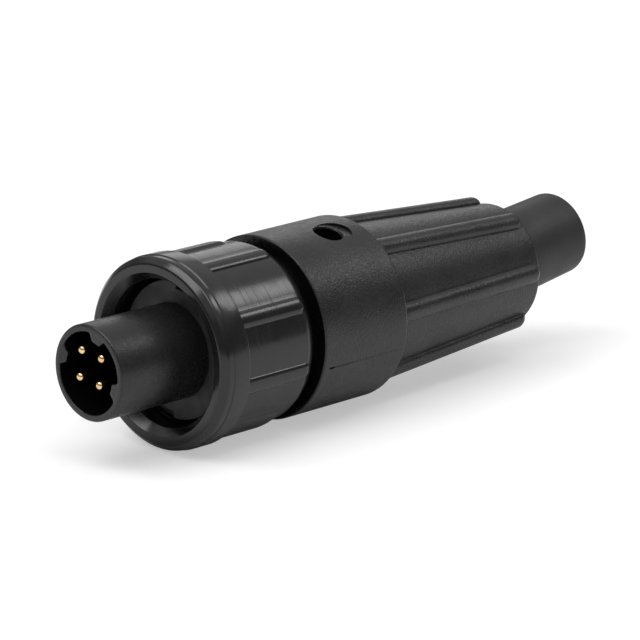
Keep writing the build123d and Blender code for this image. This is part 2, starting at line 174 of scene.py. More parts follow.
# painted shade: the inside, the rear edge and the side hole of a piece are painted dark
def insideMask(tree, split, radius, look):  # where a piece shows its inside, its hidden rear or its side hole
    along = split.outputs[1]
    paintedShade = 0.0
    if look.get("inside"):
        low, high = look["inside"]
        paintedShade = ramp(tree, radius, low * mm, high * mm, 1.0, 0.0)
    if look.get("rear"):
        start, end, amount = look["rear"]
        paintedShade = calc(tree, "MAXIMUM", paintedShade, ramp(tree, along, start * mm, end * mm, 0.0, amount))
    if look.get("holeShade"):
        holeShade = look["holeShade"]
        front = ramp(tree, along, holeShade["front"] * mm, (holeShade["front"] + holeShade["frontSoft"]) * mm, 1.0, 0.0)
        paintedShade = calc(tree, "MAXIMUM", calc(tree, "MULTIPLY", paintedShade, front), holeShadeMask(tree, split, radius, holeShade))
    return paintedShade


def finish(name, look):
    material = bpy.data.materials.new(name)
    material.use_nodes = True
    tree = material.node_tree
    shader = tree.nodes["Principled BSDF"]
    where = tree.nodes.new("ShaderNodeTexCoord").outputs["Object"]
    split = tree.nodes.new("ShaderNodeSeparateXYZ")
    tree.links.new(where, split.inputs[0])
    x, y, z = split.outputs
    radius = distance(tree, x, z)
    # colour: two close tones in soft clouds, then rubbed or dusty specks
    clouds = patches(tree, where, look, "cloud")
    colour = mixColour(tree, clouds, (*look["dark"], 1), (*look["light"], 1))
    specks = ramp(tree, noise(tree, where, look, "speck"),
                  look["speckFrom"], look["speckFrom"] + noiseKinds["speck"]["soft"])
    specks = calc(tree, "MULTIPLY", specks, look["speckShare"])
    colour = mixColour(tree, specks, colour, (*look["speckTone"], 1))
    # roughness: uneven, with hair lines where it has worn
    uneven = patches(tree, where, look, "patch", *look["rough"])
    if look.get("lip"):  # the ring's front lip is a touch smoother than the rest
        start, end, duller = look["lip"]
        uneven = calc(tree, "ADD", uneven, ramp(tree, y, start * mm, end * mm, 0.0, duller))
    if look.get("hairs"):
        hairs = patches(tree, y, look, "hairs", 0.0, look["hairRough"])
        worn = patches(tree, where, look, "worn")
        uneven = calc(tree, "ADD", uneven, calc(tree, "MULTIPLY", hairs, worn))
    # painted shade: there the colour goes to the shade tone and the roughness to the shade roughness
    if look.get("insideTone"):
        inside = insideMask(tree, split, radius, look)
        change = calc(tree, "SUBTRACT", look["insideRough"], uneven)
        uneven = calc(tree, "ADD", uneven, calc(tree, "MULTIPLY", inside, change))
        colour = mixColour(tree, inside, colour, (*look["insideTone"], 1))
    tree.links.new(colour, shader.inputs["Base Color"])
    tree.links.new(uneven, shader.inputs["Roughness"])
    # bump: grain, with faint turned lines and a slow wave where the real one has them
    height = calc(tree, "MULTIPLY", noise(tree, where, look, "grain"), look["grainDepth"])
    if look.get("lines"):
        lines = noise(tree, y, look, "lines")
        height = calc(tree, "ADD", height, calc(tree, "MULTIPLY", lines, look["lineDepth"]))
    if look.get("wave"):
        wave = noise(tree, where, look, "wave")
        height = calc(tree, "ADD", height, calc(tree, "MULTIPLY", wave, look["waveDepth"]))
    bump = tree.nodes.new("ShaderNodeBump")
    bump.inputs["Distance"].default_value = mm
    bump.inputs["Strength"].default_value = 1.0
    tree.links.new(height, bump.inputs["Height"])
    tree.links.new(bump.outputs[0], shader.inputs["Normal"])
    shader.inputs["Metallic"].default_value = look.get("metal", 0.0)
    shader.inputs["Specular IOR Level"].default_value = look.get("specular", 0.5)
    return material


# sizes and depths in millimetres; the inside shade is given as a radius, the lip and the rear shade as places
# along the axis; inside, rear and well paint shade into the colour
finishLooks = {
    "shellBlack": {
        "dark": (0.011, 0.011, 0.0115), "light": (0.018, 0.018, 0.0185), "cloud": 5.0,
        "speck": 0.2, "speckFrom": 0.6, "speckShare": 0.35, "speckTone": (0.045, 0.045, 0.046),
        "rough": (0.27, 0.37), "patch": 0.5, "grain": 0.2, "grainDepth": 0.05, "specular": 0.41,
    },
    "sleeveBlack": {
        "dark": (0.011, 0.011, 0.0115), "light": (0.018, 0.018, 0.0185), "cloud": 5.0,
        "speck": 0.2, "speckFrom": 0.6, "speckShare": 0.35, "speckTone": (0.045, 0.045, 0.046),
        "rough": (0.27, 0.37), "patch": 0.5, "grain": 0.2, "grainDepth": 0.056, "specular": 0.42,
        # painted shade: the sleeve's inside at its front, the hole's chamfer and the spot face's step go near
        # black
        "inside": (10.47, 10.53), "insideTone": (0.002, 0.002, 0.002), "insideRough": 0.25,
        "holeShade": {
            "rim": 1.88, "rimSoft": 0.05, "step": 2.08, "stepSoft": 0.06, "stepEnd": 2.6, "stepGone": 2.8,
            "level": 10.67, "levelSoft": 0.03, "front": 26.6, "frontSoft": 0.3,
        },
    },
    "shroudBlack": {
        "dark": (0.010, 0.010, 0.0105), "light": (0.014, 0.014, 0.0145), "cloud": 5.0,
        "speck": 0.2, "speckFrom": 0.62, "speckShare": 0.3, "speckTone": (0.04, 0.04, 0.04),
        "rough": (0.26, 0.34), "patch": 0.6, "grain": 0.18, "grainDepth": 0.032, "specular": 0.45,
        # painted shade: the shroud's bore and keyways go near black
        "inside": (4.69, 4.74), "insideTone": (0.003, 0.003, 0.003), "insideRough": 0.16,
    },
    "ringBlack": {
        "dark": (0.007, 0.007, 0.0075), "light": (0.010, 0.010, 0.0105), "cloud": 5.0,
        "speck": 0.35, "speckFrom": 0.73, "speckShare": 0.2, "speckTone": (0.04, 0.04, 0.04),
        "rough": (0.14, 0.20), "patch": 2.0, "grain": 0.25, "grainDepth": 0.0022,
        "lip": (11.5, 11.7, 0.01), "hairs": 0.2, "hairRough": 0.16, "worn": 5.0,
        "lines": 0.16, "lineDepth": 0.0010, "wave": 3.5, "waveDepth": 0.02,
        # painted shade: the ring's bore goes near black, and its rear edge darkens towards the gap
        "inside": (8.48, 8.56), "insideTone": (0.003, 0.003, 0.003), "insideRough": 0.3,
        "rear": (23.2, 24.5, 1.0),
    },
    "bootRubber": {
        "dark": (0.013, 0.013, 0.0135), "light": (0.017, 0.017, 0.0175), "cloud": 5.0,
        "speck": 0.4, "speckFrom": 0.72, "speckShare": 0.2, "speckTone": (0.05, 0.05, 0.05),
        "rough": (0.48, 0.58), "patch": 4.0, "grain": 0.25, "grainDepth": 0.02,
    },
    "sealRubber": {
        "dark": (0.016, 0.016, 0.016), "light": (0.026, 0.026, 0.026), "cloud": 2.0,
        "speck": 0.3, "speckFrom": 0.7, "speckShare": 0.3, "speckTone": (0.05, 0.05, 0.05),
        "rough": (0.50, 0.62), "patch": 1.5, "grain": 0.1, "grainDepth": 0.006,
    },
    "insertBlack": {
        "dark": (0.005, 0.005, 0.005), "light": (0.008, 0.008, 0.008), "cloud": 2.5,
        "speck": 0.3, "speckFrom": 0.72, "speckShare": 0.2, "speckTone": (0.03, 0.03, 0.03),
        "rough": (0.55, 0.70), "patch": 1.5, "grain": 0.12, "grainDepth": 0.006,
    },
    "clampNylon": {
        "dark": (0.55, 0.53, 0.48), "light": (0.66, 0.64, 0.58), "cloud": 3.0,
        "speck": 0.3, "speckFrom": 0.72, "speckShare": 0.3, "speckTone": (0.4, 0.38, 0.33),
        "rough": (0.38, 0.50), "patch": 2.0, "grain": 0.15, "grainDepth": 0.004,
    },
    "springSteel": {
        "dark": (0.50, 0.50, 0.51), "light": (0.62, 0.62, 0.63), "cloud": 2.0,
        "speck": 0.3, "speckFrom": 0.72, "speckShare": 0.3, "speckTone": (0.25, 0.24, 0.22),
        "rough": (0.22, 0.34), "patch": 1.0, "grain": 0.1, "grainDepth": 0.002, "metal": 1.0,
    },
    "screwBlack": {
        "dark": (0.045, 0.045, 0.05), "light": (0.07, 0.07, 0.075), "cloud": 1.0,
        "speck": 0.3, "speckFrom": 0.72, "speckShare": 0.3, "speckTone": (0.15, 0.14, 0.13),
        "rough": (0.30, 0.42), "patch": 0.8, "grain": 0.1, "grainDepth": 0.003, "metal": 1.0,
    },
    "contactGold": {
        "dark": (0.82, 0.55, 0.24), "light": (0.95, 0.70, 0.36), "cloud": 1.2,
        "speck": 0.15, "speckFrom": 0.72, "speckShare": 0.3, "speckTone": (0.45, 0.26, 0.08),
        "rough": (0.06, 0.12), "patch": 0.6, "grain": 0.15, "grainDepth": 0.0003, "metal": 1.0,
        # painted shade: the pins go dark gold away from their round noses
        "rear": (0.36, 0.62, 0.9), "insideTone": (0.10, 0.055, 0.02), "insideRough": 0.3,
    },
}
finishes = {name: finish(name, look) for name, look in finishLooks.items()}
print("finishes made:", len(finishes))


# turned meshes
creaseAngle = math.radians(32)
arcSteps = 6
unbroken = 99.0  # a longest step that never divides a side
stepSlack = 0.001  # so that a side of just so many steps gets no extra one


def roundOff(corners, closed):
    # a corner is (radius, y), then a rounding and a longest step to the next corner where they matter
    corners = [tuple(c) + (0.0, unbroken)[len(c) - 2:] for c in corners]
    points = []
    for index, (r, y, size, step) in enumerate(corners):
        here = Vector((r, y))
        if size and (closed or 0 < index < len(corners) - 1):
            back = (Vector(corners[index - 1][:2]) - here).normalized()
            ahead = (Vector(corners[(index + 1) % len(corners)][:2]) - here).normalized()
            half = back.angle(ahead) / 2
            centre = here + (back + ahead).normalized() * (size / math.sin(half))
            first = here + back * (size / math.tan(half)) - centre
            last = here + ahead * (size / math.tan(half)) - centre
            sweep = first.angle(last)
            for k in range(arcSteps + 1):
                share = k / arcSteps
                arm = math.sin((1 - share) * sweep) * first + math.sin(share * sweep) * last
                points.append((centre + arm / math.sin(sweep), step if k == arcSteps else unbroken))
        else:
            points.append((here, step))
    outline = []
    for index, (here, step) in enumerate(points):
        outline.append(here)
        if index + 1 < len(points) or closed:
            ahead = points[(index + 1) % len(points)][0] - here
            pieces = max(1, math.ceil(ahead.length / step - stepSlack))
            outline += [here + ahead * (k / pieces) for k in range(1, pieces)]
    return outline


def evenAngles(count):
    return lambda radius: [360 * k / count for k in range(count)]


def sectorAngles(centres, edges, filler):
    # close columns at each feature's edges, given as arc lengths either side of its centre, even ones between
    def around(radius):
        marks = []
        for index, centre in enumerate(centres):
            after = centres[(index + 1) % len(centres)] + (360 if index + 1 == len(centres) else 0)
            near = [centre + math.degrees(d / radius) for d in edges]
            far = after - math.degrees(edges[-1] / radius)
            marks += near
            marks += [near[-1] + (far - near[-1]) * k / filler for k in range(1, filler)]
            marks += [after - math.degrees(d / radius) for d in reversed(edges[1:])]
        return marks
    return around


def turn(name, outline, angles, closed=True):  # an outline turned round the axis, with its own columns
    verts, faces, rows = [], [], []
    for r, y in roundOff(outline, closed):
        if r < 1e-6:  # a single point on the axis
            rows.append([len(verts)])
            verts.append((0, y * mm, 0))
            continue
        around = [math.radians(a) for a in angles(r)]
        rows.append(list(range(len(verts), len(verts) + len(around))))
        verts += [(r * mm * math.cos(a), y * mm, r * mm * math.sin(a)) for a in around]
    for index in range(len(rows) if closed else len(rows) - 1):
        low, high = rows[index], rows[(index + 1) % len(rows)]
        for k in range(max(len(low), len(high))):
            corners = ((low, k), (low, k + 1), (high, k + 1), (high, k))
            faces.append(list(dict.fromkeys(row[place % len(row)] for row, place in corners)))
    mesh = bpy.data.meshes.new(name)
    mesh.from_pydata(verts, [], faces)
    outwards(mesh)
    smooth(mesh)
    piece = bpy.data.objects.new(name, mesh)
    scene.collection.objects.link(piece)
    return piece


def outwards(mesh):
    work = bmesh.new()
    work.from_mesh(mesh)
    bmesh.ops.recalc_face_normals(work, faces=work.faces)
    work.to_mesh(mesh)
    work.free()


def smooth(mesh):
    mesh.shade_smooth()
    mesh.set_sharp_from_angle(angle=creaseAngle)


def settle(piece):  # modifiers become a plain mesh
    graph = bpy.context.evaluated_depsgraph_get()
    mesh = bpy.data.meshes.new_from_object(piece.evaluated_get(graph))
    piece.modifiers.clear()
    old = piece.data
    piece.data = mesh
    bpy.data.meshes.remove(old)
    mesh.name = piece.name
    smooth(mesh)


# Geometry Nodes: trees with named inputs
def newTree(name):
    tree = bpy.data.node_groups.new(name, "GeometryNodeTree")
    tree.interface.new_socket("Geometry", in_out="INPUT", socket_type="NodeSocketGeometry")
    tree.interface.new_socket("Geometry", in_out="OUTPUT", socket_type="NodeSocketGeometry")
    return tree, tree.nodes.new("NodeGroupInput"), tree.nodes.new("NodeGroupOutput")


def addInputs(tree, inlet, numbers, sizes, label=""):  # numbers collects what the modifier is given
    found = {}
    for key, value in sizes.items():
        socket = tree.interface.new_socket(label + key, in_out="INPUT", socket_type="NodeSocketFloat")
        numbers[socket.identifier] = float(value)
        found[key] = inlet.outputs[socket.name]
    return found


def endTree(tree, geometry, outlet, material):
    real = tree.nodes.new("GeometryNodeRealizeInstances")
    coat = tree.nodes.new("GeometryNodeSetMaterial")
    coat.inputs["Material"].default_value = material
    tree.links.new(geometry, real.inputs[0])
    tree.links.new(real.outputs[0], coat.inputs["Geometry"])
    tree.links.new(coat.outputs[0], outlet.inputs[0])


def runTree(piece, tree, numbers):
    modifier = piece.modifiers.new(tree.name, "NODES")
    modifier.node_group = tree
    for identifier, value in numbers.items():
        modifier[identifier] = value
    settle(piece)


# raised and sunk features that repeat round the axis; a feature gives only what differs from these
featureSizes = {
    "Count": 1, "Pitch": 40.0, "Fold": 360.0, "Centre": 0.0, "Half Top": 1.0, "Half Foot": 1.2,
    "Height Start": 0.5, "Height End": 0.5, "Start": 0.0, "Start Slope": 0.05, "End": 10.0,
    "End Slope": 0.05, "Cap": 0.0, "Round": 0.0, "Inner Radius": 0.0, "Outer Radius": 100.0,
}
threadFlat = 0.12  # share of the thread's flank that is flat at its root and at its crest


def endSlopes(tree, y, size, startSlope, endSlope):
    rise = ramp(tree, y, size["Start"], calc(tree, "ADD", size["Start"], startSlope))
    fall = ramp(tree, y, calc(tree, "SUBTRACT", size["End"], endSlope), size["End"], 1.0, 0.0)
    return rise, fall


def radiusBand(tree, radius, size):
    return calc(tree, "MULTIPLY", calc(tree, "GREATER_THAN", radius, size["Inner Radius"]),
                calc(tree, "LESS_THAN", radius, size["Outer Radius"]))


def featureHeight(tree, size, y, angle, radius):
    # angle from the nearest copy, counted either side of the centre within each fold
    half = calc(tree, "DIVIDE", size["Fold"], 2.0)
    local = calc(tree, "SUBTRACT", angle, size["Centre"])
    local = calc(tree, "WRAP", local, half, calc(tree, "MULTIPLY", half, -1.0))
    most = calc(tree, "DIVIDE", calc(tree, "SUBTRACT", size["Count"], 1.0), 2.0)
    step = calc(tree, "MINIMUM", calc(tree, "ROUND", calc(tree, "DIVIDE", local, size["Pitch"])), most)
    step = calc(tree, "MAXIMUM", step, calc(tree, "MULTIPLY", most, -1.0))
    local = calc(tree, "SUBTRACT", local, calc(tree, "MULTIPLY", step, size["Pitch"]))
    arc = calc(tree, "MULTIPLY", calc(tree, "RADIANS", calc(tree, "ABSOLUTE", local)), radius)
    # a feature with a cap ends in a half round
    past = calc(tree, "SUBTRACT", y, calc(tree, "SUBTRACT", size["End"], size["Cap"]))
    past = calc(tree, "MAXIMUM", past, 0.0)
    past = calc(tree, "MULTIPLY", past, calc(tree, "GREATER_THAN", size["Cap"], 0.0))
    reach = distance(tree, arc, past)
    # a flat top with sloping sides, or a dome where the feature is round
    shape = ramp(tree, reach, size["Half Top"], size["Half Foot"], 1.0, 0.0)
    dome = calc(tree, "POWER", calc(tree, "DIVIDE", reach, size["Half Foot"]), 2.0)
    dome = calc(tree, "MAXIMUM", calc(tree, "SUBTRACT", 1.0, dome), 0.0)
    dome = calc(tree, "SUBTRACT", calc(tree, "POWER", dome, size["Round"]), shape)
    dome = calc(tree, "MULTIPLY", dome, calc(tree, "GREATER_THAN", size["Round"], 0.0))
    shape = calc(tree, "ADD", shape, dome)
    height = ramp(tree, y, size["Start"], size["End"], size["Height Start"], size["Height End"], smooth=False)
    slopes = endSlopes(tree, y, size, size["Start Slope"], size["End Slope"])
    return product(tree, height, shape, *slopes, radiusBand(tree, radius, size))


def threadHeight(tree, size, y, angle, radius):
    helix = calc(tree, "SUBTRACT", calc(tree, "DIVIDE", y, size["Pitch"]), calc(tree, "DIVIDE", angle, 360.0))
    wave = calc(tree, "MULTIPLY", calc(tree, "FRACT", helix), 2.0)
    wave = calc(tree, "ABSOLUTE", calc(tree, "SUBTRACT", wave, 1.0))
    flank = ramp(tree, wave, threadFlat, 1 - threadFlat, smooth=False)
    slopes = endSlopes(tree, y, size, size["Fade"], size["Fade"])
    return product(tree, flank, size["Depth"], *slopes, radiusBand(tree, radius, size))


def relief(piece, material, features, thread=None):
    tree, inlet, outlet = newTree(piece.name + "Relief")
    numbers = {}
    split = tree.nodes.new("ShaderNodeSeparateXYZ")
    tree.links.new(tree.nodes.new("GeometryNodeInputPosition").outputs[0], split.inputs[0])
    x, y, z = (calc(tree, "MULTIPLY", out, 1 / mm) for out in split.outputs)
    radius = distance(tree, x, z)
    angle = calc(tree, "DEGREES", calc(tree, "ARCTAN2", z, x))
    total = 0.0
    for label, given in features.items():
        size = addInputs(tree, inlet, numbers, {**featureSizes, **given}, label + " ")
        total = calc(tree, "ADD", total, featureHeight(tree, size, y, angle, radius))
    if thread:
        size = addInputs(tree, inlet, numbers, thread, "Thread ")
        total = calc(tree, "ADD", total, threadHeight(tree, size, y, angle, radius))
    # each point moves along its own radius, which is kept off zero for points on the axis
    push = calc(tree, "DIVIDE", calc(tree, "MULTIPLY", total, mm), calc(tree, "MAXIMUM", radius, 0.001))
    join = tree.nodes.new("ShaderNodeCombineXYZ")
    tree.links.new(calc(tree, "MULTIPLY", x, push), join.inputs[0])
    tree.links.new(calc(tree, "MULTIPLY", z, push), join.inputs[2])
    place = tree.nodes.new("GeometryNodeSetPosition")
    tree.links.new(inlet.outputs["Geometry"], place.inputs["Geometry"])
    tree.links.new(join.outputs[0], place.inputs["Offset"])
    endTree(tree, place.outputs[0], outlet, material)
    runTree(piece, tree, numbers)


# keyed shell: shroud with three keys, notched flange, grooved drum, barrel and spigot
plugShell = {
    "outline": [
        (4.67, 0.0, 0.12, 0.3), (5.47, 0.0, 0.28), (5.47, 12.97), (5.22, 12.97), (5.22, 13.65),
        (6.9, 13.65), (8.05, 13.65, 0.1), (8.05, 15.0, 0.1), (7.35, 15.0), (7.35, 16.2), (8.05, 16.2, 0.1),
        (8.05, 18.2, 0.1), (6.65, 18.2), (6.65, 23.3), (6.5, 23.3), (6.5, 24.2), (5.95, 24.2),
        (5.95, 25.2), (6.5, 25.2), (6.5, 37.0), (5.4, 37.0), (5.4, 14.0), (4.67, 14.0, 0.0, 0.4),
    ],
    "keys": {
        "Count": 3, "Pitch": 90.0, "Centre": 72.5, "Half Top": 0.62, "Half Foot": 1.35,
        "Height Start": -0.95, "Height End": -0.95, "Start": 0.0, "Start Slope": 0.12,
        "End": 8.35, "End Slope": 0.3, "Outer Radius": 4.8,
    },
    "notches": {
        "Count": 2, "Pitch": 180.0, "Centre": 72.5, "Half Top": 2.1, "Half Foot": 2.25,
        "Height Start": -0.95, "Height End": -0.95, "Start": 13.5, "Start Slope": 0.05,
        "End": 15.05, "End Slope": 0.05, "Inner Radius": 7.4,
    },
    "columns": {
        "centres": [-17.5, 72.5, 162.5, 252.5], "filler": 26,
        "edges": [0, 0.45, 0.6, 0.7, 0.8, 0.9, 1.0, 1.1, 1.2, 1.3, 1.3045, 1.351, 1.3975, 1.5],
    },
    "widestColumns": 5.0,  # past this radius the columns keep their angles
}
shellColumns = sectorAngles(**plugShell["columns"])
shell = turn("plugShell", plugShell["outline"],
             lambda radius: shellColumns(min(radius, plugShell["widestColumns"])))
relief(shell, finishes["shroudBlack"], {"Key": plugShell["keys"], "Notch": plugShell["notches"]})
print("shell turned:", len(shell.data.polygons), "faces")

# contacts: one round-nosed pin with its shoulder and solder cup, set out on a square
contactPins = {
    "outline": [
        (0.0, 0.1), (0.5, 0.1, 0.42), (0.5, 14.8), (0.85, 14.8, 0.08), (0.85, 16.4, 0.08), (0.5, 16.4),
        (0.5, 22.4), (0.95, 22.4, 0.1), (0.95, 27.4, 0.06), (0.67, 27.4), (0.67, 23.6), (0.0, 23.6),
    ],
    "columns": 40,
    "layout": {"Pitch": 3.15, "Turn": -7.0, "Rise": 0.55},
}


def setOut(piece, material):
    tree, inlet, outlet = newTree(piece.name + "Layout")
    numbers = {}
    size = addInputs(tree, inlet, numbers, contactPins["layout"])
    circle = tree.nodes.new("GeometryNodeMeshCircle")
    circle.inputs["Vertices"].default_value = 4
    tree.links.new(calc(tree, "MULTIPLY", size["Pitch"], mm / math.sqrt(2)), circle.inputs["Radius"])
    stand = tree.nodes.new("GeometryNodeTransform")  # the flat circle is stood up across the axis
    spin, lift = tree.nodes.new("ShaderNodeCombineXYZ"), tree.nodes.new("ShaderNodeCombineXYZ")
    spin.inputs[0].default_value = math.pi / 2
    turned = calc(tree, "MULTIPLY", calc(tree, "ADD", size["Turn"], 45.0), -1.0)
    tree.links.new(calc(tree, "RADIANS", turned), spin.inputs[1])
    tree.links.new(calc(tree, "MULTIPLY", size["Rise"], mm), lift.inputs[2])
    tree.links.new(circle.outputs[0], stand.inputs["Geometry"])
    tree.links.new(spin.outputs[0], stand.inputs["Rotation"])
    tree.links.new(lift.outputs[0], stand.inputs["Translation"])
    copies = tree.nodes.new("GeometryNodeInstanceOnPoints")
    tree.links.new(stand.outputs[0], copies.inputs["Points"])
    tree.links.new(inlet.outputs["Geometry"], copies.inputs["Instance"])
    endTree(tree, copies.outputs[0], outlet, material)
    runTree(piece, tree, numbers)


contacts = turn("contacts", contactPins["outline"], evenAngles(contactPins["columns"]), closed=False)
setOut(contacts, finishes["contactGold"])
print("contacts set out")

# coupling ring: rolled lip, plain band, ribs and thumb pads, threaded mouth
couplingRing = {
    "outline": [
        (8.46, 11.2, 0.1), (9.34, 10.1, 0.12), (10.3, 10.1, 0.5), (11.0, 10.8, 0.5), (11.0, 11.52),
        (11.115, 11.66, 0.06), (11.115, 14.0, 0.18), (10.45, 14.03, 0.06, 0.35),
        (10.45, 22.0, 0.0, 0.12), (10.45, 23.7, 1.4), (10.1, 24.62, 0.35), (9.2, 24.8, 0.1),
        (9.2, 22.75), (6.72, 22.75), (6.72, 19.45), (8.9, 19.45), (8.9, 17.2), (8.46, 17.2, 0.0, 0.1),
    ],
    "ribs": {
        "Count": 3, "Pitch": 42.0, "Fold": 180.0, "Centre": 28.3, "Half Foot": 1.0, "Round": 0.62,
        "Height Start": 0.38, "Height End": 0.38, "Start": 13.6, "End": 23.95, "Cap": 0.9,
        "Inner Radius": 10.0, "Outer Radius": 10.6,
    },
    "pads": {
        "Count": 1, "Pitch": 180.0, "Fold": 180.0, "Centre": 118.3, "Half Top": 3.75, "Half Foot": 4.45,
        "Height Start": 0.38, "Height End": 0.38, "Start": 13.6, "End": 22.3, "End Slope": 0.8,
        "Inner Radius": 10.3, "Outer Radius": 10.6,
    },
    "thread": {
        "Pitch": 1.0, "Depth": 0.25, "Start": 13.0, "End": 17.1, "Fade": 0.6,
        "Inner Radius": 8.3, "Outer Radius": 8.6,
    },
}
ringColumns = {  # in degrees: each rib and its steps to either side, the pads' edges, and even runs
    "ribs": (-13.7, 28.3, 70.3),
    "ribSteps": (0.35, 1.0, 1.8, 2.6, 3.4, 4.1, 4.7, 5.15, 5.45, 5.6, 6.4), "ribsApart": 42.0, "filler": 16,
    "padEdges": (94.8, 141.8), "edgeSteps": (-2.4, -1.8, -1.3, -0.9, -0.5, 0, 0.5, 0.9, 1.3, 1.8, 2.4),
    "runs": ((76.7, 8), (98.9, 22), (146, 7)), "runStep": 1.9, "closest": 0.25,
}


def ringAngles(radius):
    steps, filler = ringColumns["ribSteps"], ringColumns["filler"]
    gap = ringColumns["ribsApart"] - 2 * steps[-1]
    marks = []
    for side in (0, 180):
        for centre in ringColumns["ribs"]:
            marks += [centre + side + way * step for way in (1, -1) for step in steps]
        for centre in ringColumns["ribs"][:-1]:
            marks += [centre + side + steps[-1] + k * gap / filler for k in range(1, filler)]
        for edge in ringColumns["padEdges"]:
            marks += [edge + side + step for step in ringColumns["edgeSteps"]]
        for first, count in ringColumns["runs"]:
            marks += [first + side + k * ringColumns["runStep"] for k in range(count)]
    kept = []
    for mark in sorted(m % 360 for m in marks):
        if not kept or mark - kept[-1] > ringColumns["closest"]:
            kept.append(mark)
    return kept


ring = turn("couplingRing", couplingRing["outline"], ringAngles)
relief(ring, finishes["ringBlack"], {"Rib": couplingRing["ribs"], "Pad": couplingRing["pads"]},
       couplingRing["thread"])
print("coupling ring turned:", len(ring.data.polygons), "faces")

# body sleeve: a fine moulding line with a nick, and a spot-faced side hole for the set screw
lineAngle = -16.2
bodySleeve = {
    "outline": [
        (6.55, 23.3), (8.7, 23.3, 0.15), (8.7, 26.15), (10.7, 26.15, 0.2, 0.2), (10.7, 39.6, 0.4),
        (7.0, 39.6), (7.0, 50.0, 0.2), (6.0, 50.0), (6.0, 37.2), (6.55, 37.2),
    ],
    "radius": 10.7,
    "columns": {
        "centres": [lineAngle, lineAngle + 180], "filler": 150, "edges": [0, 0.05, 0.1, 0.15, 0.2, 0.3],
    },
    "line": {
        "Count": 1, "Fold": 180.0, "Centre": lineAngle, "Half Top": 0.03, "Half Foot": 0.12,
        "Height Start": -0.07, "Height End": -0.03, "Start": 27.2, "Start Slope": 0.3,
        "End": 39.3, "End Slope": 0.5, "Inner Radius": 10.6,
    },
    "nick": {
        "Count": 1, "Fold": 180.0, "Centre": lineAngle, "Half Top": 0.07, "Half Foot": 0.15,
        "Height Start": -0.2, "Height End": -0.2, "Start": 27.2, "Start Slope": 0.1,
        "End": 28.1, "End Slope": 0.2, "Inner Radius": 10.6,
    },
    "hole": [(0.0, 5.5), (1.65, 5.5), (1.65, 10.3, 0.1), (1.8, 10.5), (1.8, 11.6), (0.0, 11.6)],
    "spotFace": [(0.0, -0.17), (2.1, -0.17), (2.1, 1.2), (0.0, 1.2)],
    "faceLean": 4.0, "faceTip": 4.0, "drillColumns": 96,
}
sleeveColumns = sectorAngles(**bodySleeve["columns"])(bodySleeve["radius"])
sleeve = turn("bodySleeve", bodySleeve["outline"], lambda radius: sleeveColumns)
relief(sleeve, finishes["sleeveBlack"], {"Line": bodySleeve["line"], "Nick": bodySleeve["nick"]})
drillWay = (Matrix.Translation((0, sideHole["place"] * mm, 0))
            @ Matrix.Rotation(math.radians(-sideHole["angle"]), 4, "Y"))
faceWay = (drillWay @ Matrix.Translation((bodySleeve["radius"] * mm, sideHole["faceShift"] * mm, 0))
           @ Matrix.Rotation(math.radians(-bodySleeve["faceLean"]), 4, "Y")
           @ Matrix.Rotation(math.radians(bodySleeve["faceTip"]), 4, "Z"))
for name, way in (("spotFace", faceWay), ("hole", drillWay)):
    drill = turn(name, bodySleeve[name], evenAngles(bodySleeve["drillColumns"]), closed=False)
    drill.data.transform(way @ Matrix.Rotation(math.radians(-90), 4, "Z"))
    cut = sleeve.modifiers.new(name, "BOOLEAN")
    cut.object, cut.operation, cut.solver = drill, "DIFFERENCE", "EXACT"
    settle(sleeve)
    bpy.data.objects.remove(drill)
print("body sleeve turned:", len(sleeve.data.polygons), "faces")

# grip nut: tapered, with seven round ribs
nutRibs, firstRib = 7, 4.5
gripNut = {
    "outline": [
        (7.1, 39.8), (9.3, 39.8, 0.12, 1.0), (7.75, 62.2, 0.0, 0.12), (7.55, 65.35), (7.5, 65.8, 0.4),
        (6.3, 65.8, 0.15), (6.3, 61.4), (6.85, 61.4), (6.85, 51.0), (7.1, 51.0),
    ],
    "ribs": {
        "Count": 1, "Fold": 360 / nutRibs, "Centre": firstRib, "Half Foot": 1.18, "Round": 0.55,
        "Height Start": 0.94, "Height End": 0.94, "Start": 39.0, "End": 65.3, "End Slope": 0.01,
        "Cap": 1.15, "Inner Radius": 7.2,
    },
    "columns": {
        "centres": [firstRib + 360 / nutRibs * k for k in range(nutRibs)], "filler": 18,
        "edges": [0, 0.18, 0.36, 0.54, 0.7, 0.84, 0.95, 1.03, 1.09, 1.13, 1.16, 1.18, 1.22, 1.32],
    },
}
nut = turn("gripNut", gripNut["outline"], sectorAngles(**gripNut["columns"]))
relief(nut, finishes["shellBlack"], {"Rib": gripNut["ribs"]})
print("grip nut turned:", len(nut.data.polygons), "faces")

# strain relief: a soft boot that leans up as it leaves the nut, and its flange, which stands straight
reliefBoot = {
    "outline": [
        (3.0, -0.2), (5.18, -0.2, 0.0, 1.0), (5.2, 8.0, 0.0, 1.0), (5.05, 16.8, 0.9), (3.0, 16.8, 0.25),
    ],
    "columns": 192,
    "pivot": 60.75, "lean": 7.0,
    "flange": [(3.4, 58.65), (6.5, 58.65, 0.2), (6.5, 60.45, 0.2), (3.4, 60.45)],
    "flangeColumns": 128,
}
boot = turn("reliefBoot", reliefBoot["outline"], evenAngles(reliefBoot["columns"]))
boot.data.transform(Matrix.Translation((0, reliefBoot["pivot"] * mm, 0))
                    @ Matrix.Rotation(math.radians(reliefBoot["lean"]), 4, "X"))
flange = turn("bootFlange", reliefBoot["flange"], evenAngles(reliefBoot["flangeColumns"]))
for piece in (boot, flange):
    piece.data.materials.append(finishes["bootRubber"])
print("boot shaped")

